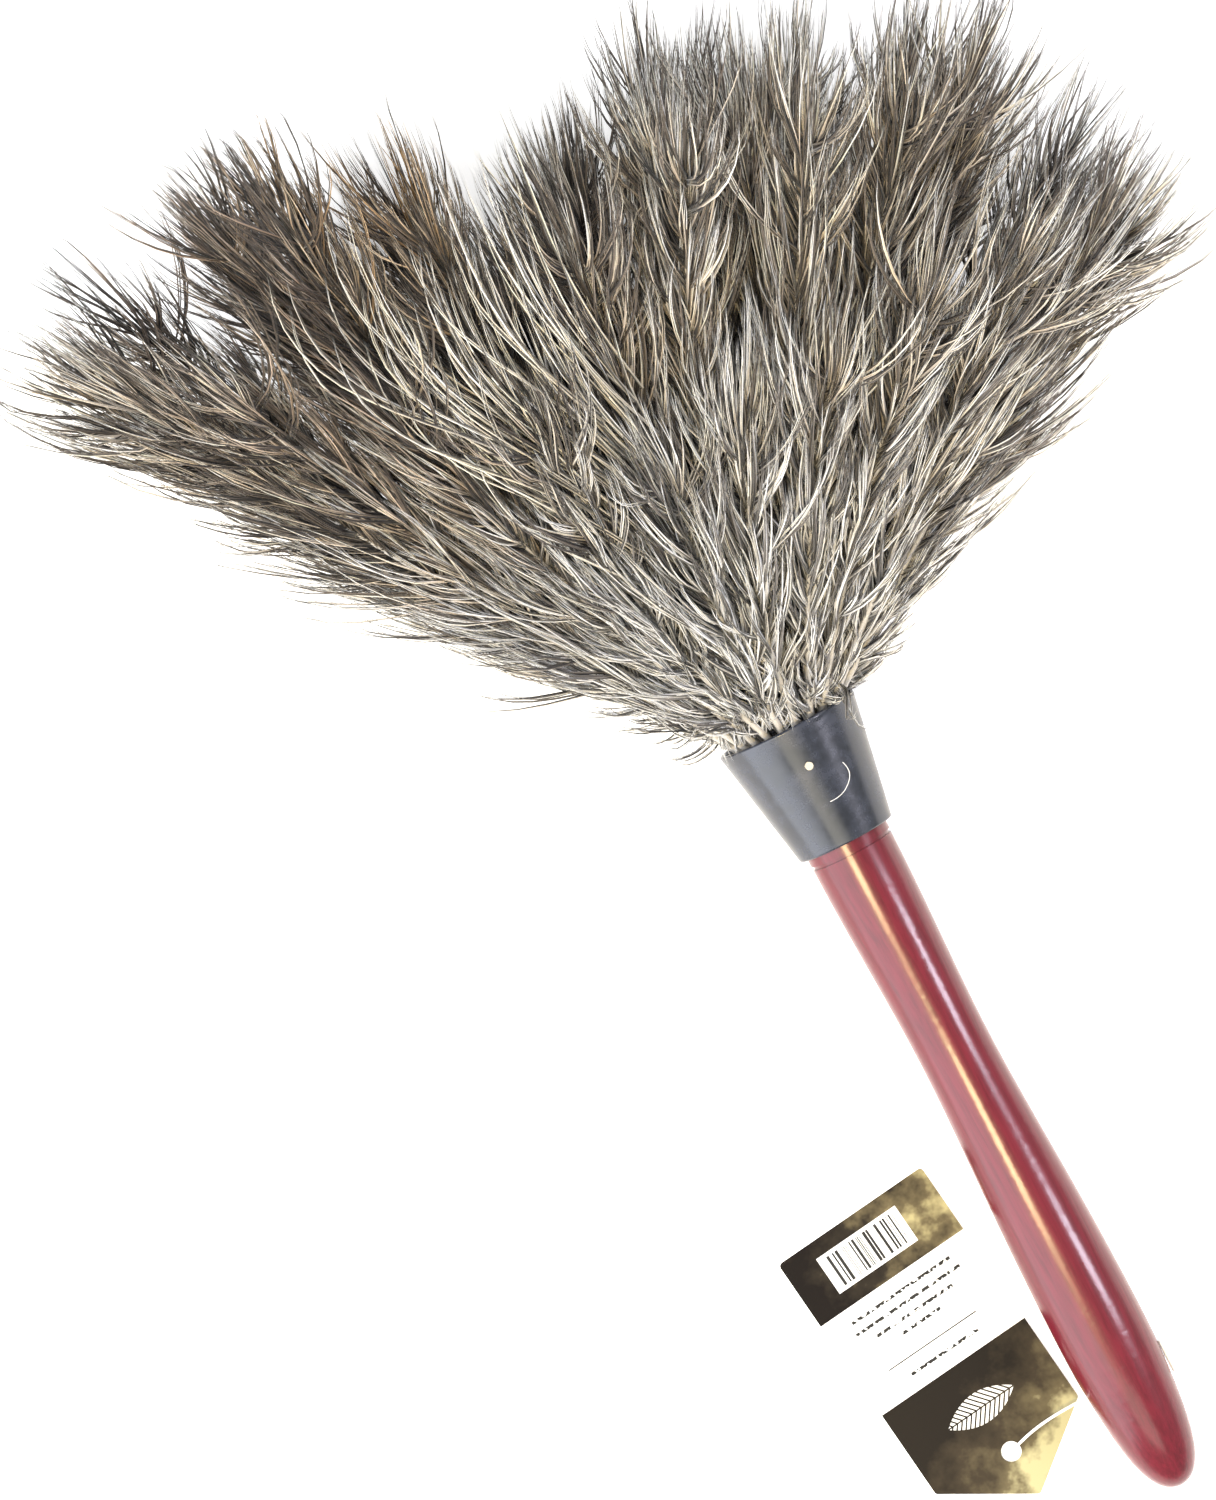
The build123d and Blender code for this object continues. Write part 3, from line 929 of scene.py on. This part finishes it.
def tag_place(tree, coordinates):
    """Places on the tag in millimetres: the vector, across and along."""
    local = node(tree, "ShaderNodeMapping", vector_type="TEXTURE")
    local.inputs["Location"].default_value = TAG_HOLE
    local.inputs["Rotation"].default_value = (0, 0, TAG_TURN)
    local.inputs["Scale"].default_value = MILLIMETRE
    tree.links.new(coordinates, local.inputs["Vector"])
    split = node(tree, "ShaderNodeSeparateXYZ")
    tree.links.new(local.outputs["Vector"], split.inputs["Vector"])
    return local.outputs["Vector"], split.outputs["X"], split.outputs["Y"]


def tag_noise(tree, vector, **values):
    """A noise over the tag."""
    made = node(tree, "ShaderNodeTexNoise", **values)
    tree.links.new(vector, made.inputs["Vector"])
    return made


def print_bands(tree, vector, across, along):
    """White card between two bands that are mottled like a photograph."""
    blotch = tag_noise(tree, vector, Scale=0.085, Detail=4.0, Roughness=0.6)
    tone = math_node(tree, "ADD", math_node(tree, "MULTIPLY", across, 0.011), blotch.outputs["Fac"])
    fall = math_node(tree, "MULTIPLY", along, -0.020)
    near_tone = math_node(tree, "ADD", math_node(tree, "ADD", tone, fall), 0.12)
    far_print, near_print = ramp(tree, tone, FAR_TONES), ramp(tree, near_tone, NEAR_TONES)
    colour = mix_colour(tree, band(tree, along, WHITE_FROM, BEYOND_CARD), near_print, PAPER)
    return mix_colour(tree, band(tree, along, FAR_BAND_FROM, BEYOND_CARD), colour, far_print)


def print_box(tree, across, along, edges):
    """One inside a box of the print."""
    left, right, near, far = edges
    return both(tree, band(tree, across, left, right), band(tree, along, near, far))


def print_bars(tree, across, along):
    """Upright bars of chance widths inside the bar code's box."""
    widths = node(tree, "ShaderNodeTexNoise", noise_dimensions="1D", Scale=1.15, Detail=1.0)
    tree.links.new(across, widths.inputs["W"])
    bars = math_node(tree, "GREATER_THAN", widths.outputs["Fac"], 0.505)
    return both(tree, bars, print_box(tree, across, along, BAR_CODE))


def print_dashes(tree, vector, across, along):
    """Rows of broken dashes in place of words."""
    chance = tag_noise(tree, vector, noise_dimensions="2D", Scale=0.9, Detail=0.0)
    dashes = math_node(tree, "GREATER_THAN", chance.outputs["Fac"], 0.44)
    rows = None
    for start, reach in DASH_ROWS:
        row = print_box(tree, across, along, (-reach, reach, start, start + DASH_HEIGHT))
        rows = row if rows is None else math_node(tree, "MAXIMUM", rows, row)
    return both(tree, dashes, rows)


def print_leaf(tree, across, along):
    """A plain leaf in place of a mark: a pointed oval with slanting veins and a stem."""
    off = math_node(tree, "ABSOLUTE", math_node(tree, "ADD", along, -LEAF_CENTRE))
    side = math_node(tree, "ABSOLUTE", across)
    edge = math_node(tree, "MULTIPLY", math_node(tree, "MULTIPLY", side, side), 1 / LEAF_POINT)
    leaf = math_node(tree, "LESS_THAN", math_node(tree, "ADD", edge, off), LEAF_HALF)
    slant = math_node(tree, "ADD", math_node(tree, "MULTIPLY", off, VEIN_SLOPE), across)
    veins = math_node(tree, "GREATER_THAN", math_node(tree, "PINGPONG", slant, VEIN_SPACING), VEIN_WIDTH)
    stem = band(tree, along, LEAF_CENTRE - STEM_HALF, LEAF_CENTRE + STEM_HALF)
    return both(tree, leaf, math_node(tree, "SUBTRACT", veins, stem, clamp=True))


def tag_material():
    """Printed card: two photographic bands, a bar code on a white label, a rule, dashes and a plain leaf."""
    material, tree, shader = new_material("tag_print")
    place = node(tree, "ShaderNodeTexCoord")
    vector, across, along = tag_place(tree, place.outputs["Object"])
    colour = print_bands(tree, vector, across, along)
    for mask, ink in (
        (print_box(tree, across, along, LABEL), PAPER),
        (print_bars(tree, across, along), INK),
        (print_box(tree, across, along, RULE), RULE_INK),
        (print_dashes(tree, vector, across, along), INK),
        (print_leaf(tree, across, along), LEAF_WHITE),
    ):
        colour = mix_colour(tree, mask, colour, ink)

    # only the upper side is printed
    facing = node(tree, "ShaderNodeSeparateXYZ")
    tree.links.new(place.outputs["Normal"], facing.inputs["Vector"])
    top = math_node(tree, "GREATER_THAN", facing.outputs["Z"], 0.5)
    tree.links.new(mix_colour(tree, top, PAPER, colour), shader.inputs["Base Color"])
    shader.inputs["Roughness"].default_value = 0.34
    shader.inputs["Specular IOR Level"].default_value = 0.05
    add_relief(tree, shader, tag_noise(tree, vector, Scale=2.2, Detail=2.0), Strength=0.12, Distance=0.00005)
    return material


repaint("tag_card", tag_material())

# ---------------------------------------------------------------- floor and light

FLOOR_HALF = 3.0
FLOOR_GLOW = 0.45
WORLD_LIGHT = 0.8
# Each light's name, place, aim, width and height, watts and colour: a wide key from the left, a fill, and
# strips that draw streaks on the handle and the collar
LIGHTS = (
    ("key", (-1.15, -0.1, 0.70), (0, 0, 0.03), (1.3, 1.8), 34, (0.94, 0.96, 1.0)),
    ("fill", (1.3, 0.9, 0.8), (0, 0.1, 0.05), (1.0, 1.0), 10, (1.0, 1.0, 1.0)),
    ("strip_warm", (-0.23, -0.20, 0.88), (0, -0.20, 0.03), (0.08, 0.22), 5.2, (1.0, 0.78, 0.42)),
    ("strip_cool", (0.67, -0.27, 0.62), (0, -0.27, 0.02), (0.05, 0.24), 3.0, (0.88, 0.86, 1.0)),
    ("strip_collar", (-0.17, -0.62, 0.85), (0, -0.1, 0.03), (0.60, 0.34), 2.2, (1.0, 0.97, 0.84)),
)


def make_floor():
    """A plain pale floor under the duster."""
    mesh = bpy.data.meshes.new("floor")
    half = FLOOR_HALF
    corners = [(-half, -half, 0), (half, -half, 0), (half, half, 0), (-half, half, 0)]
    mesh.from_pydata(corners, [], [(0, 1, 2, 3)])
    floor = bpy.data.objects.new("floor", mesh)
    bpy.context.scene.collection.objects.link(floor)
    material, _, shader = new_material("floor_pale")
    shader.inputs["Base Color"].default_value = (0.9, 0.9, 0.9, 1)
    shader.inputs["Roughness"].default_value = 0.9
    shader.inputs["Emission Color"].default_value = (1, 1, 1, 1)
    shader.inputs["Emission Strength"].default_value = FLOOR_GLOW
    mesh.materials.append(material)


def area_light(name, place, aim, size, power, colour):
    """A rectangular soft light at place, facing aim."""
    data = bpy.data.lights.new(name, "AREA")
    data.shape = "RECTANGLE"
    data.size, data.size_y = size
    data.energy = power
    data.color = colour
    light = bpy.data.objects.new(name, data)
    bpy.context.scene.collection.objects.link(light)
    facing = (Vector(aim) - Vector(place)).to_track_quat("-Z", "Y").to_matrix().to_4x4()
    light.matrix_world = Matrix.Translation(place) @ facing


def make_light():
    """Soft studio light from the world and the lights listed above."""
    world = bpy.data.worlds.new("studio")
    world.use_nodes = True
    world.node_tree.nodes["Background"].inputs["Color"].default_value = (1, 1, 1, 1)
    world.node_tree.nodes["Background"].inputs["Strength"].default_value = WORLD_LIGHT
    bpy.context.scene.world = world
    for light in LIGHTS:
        area_light(*light)


make_floor()
make_light()
bpy.context.scene.view_settings.view_transform = "Standard"
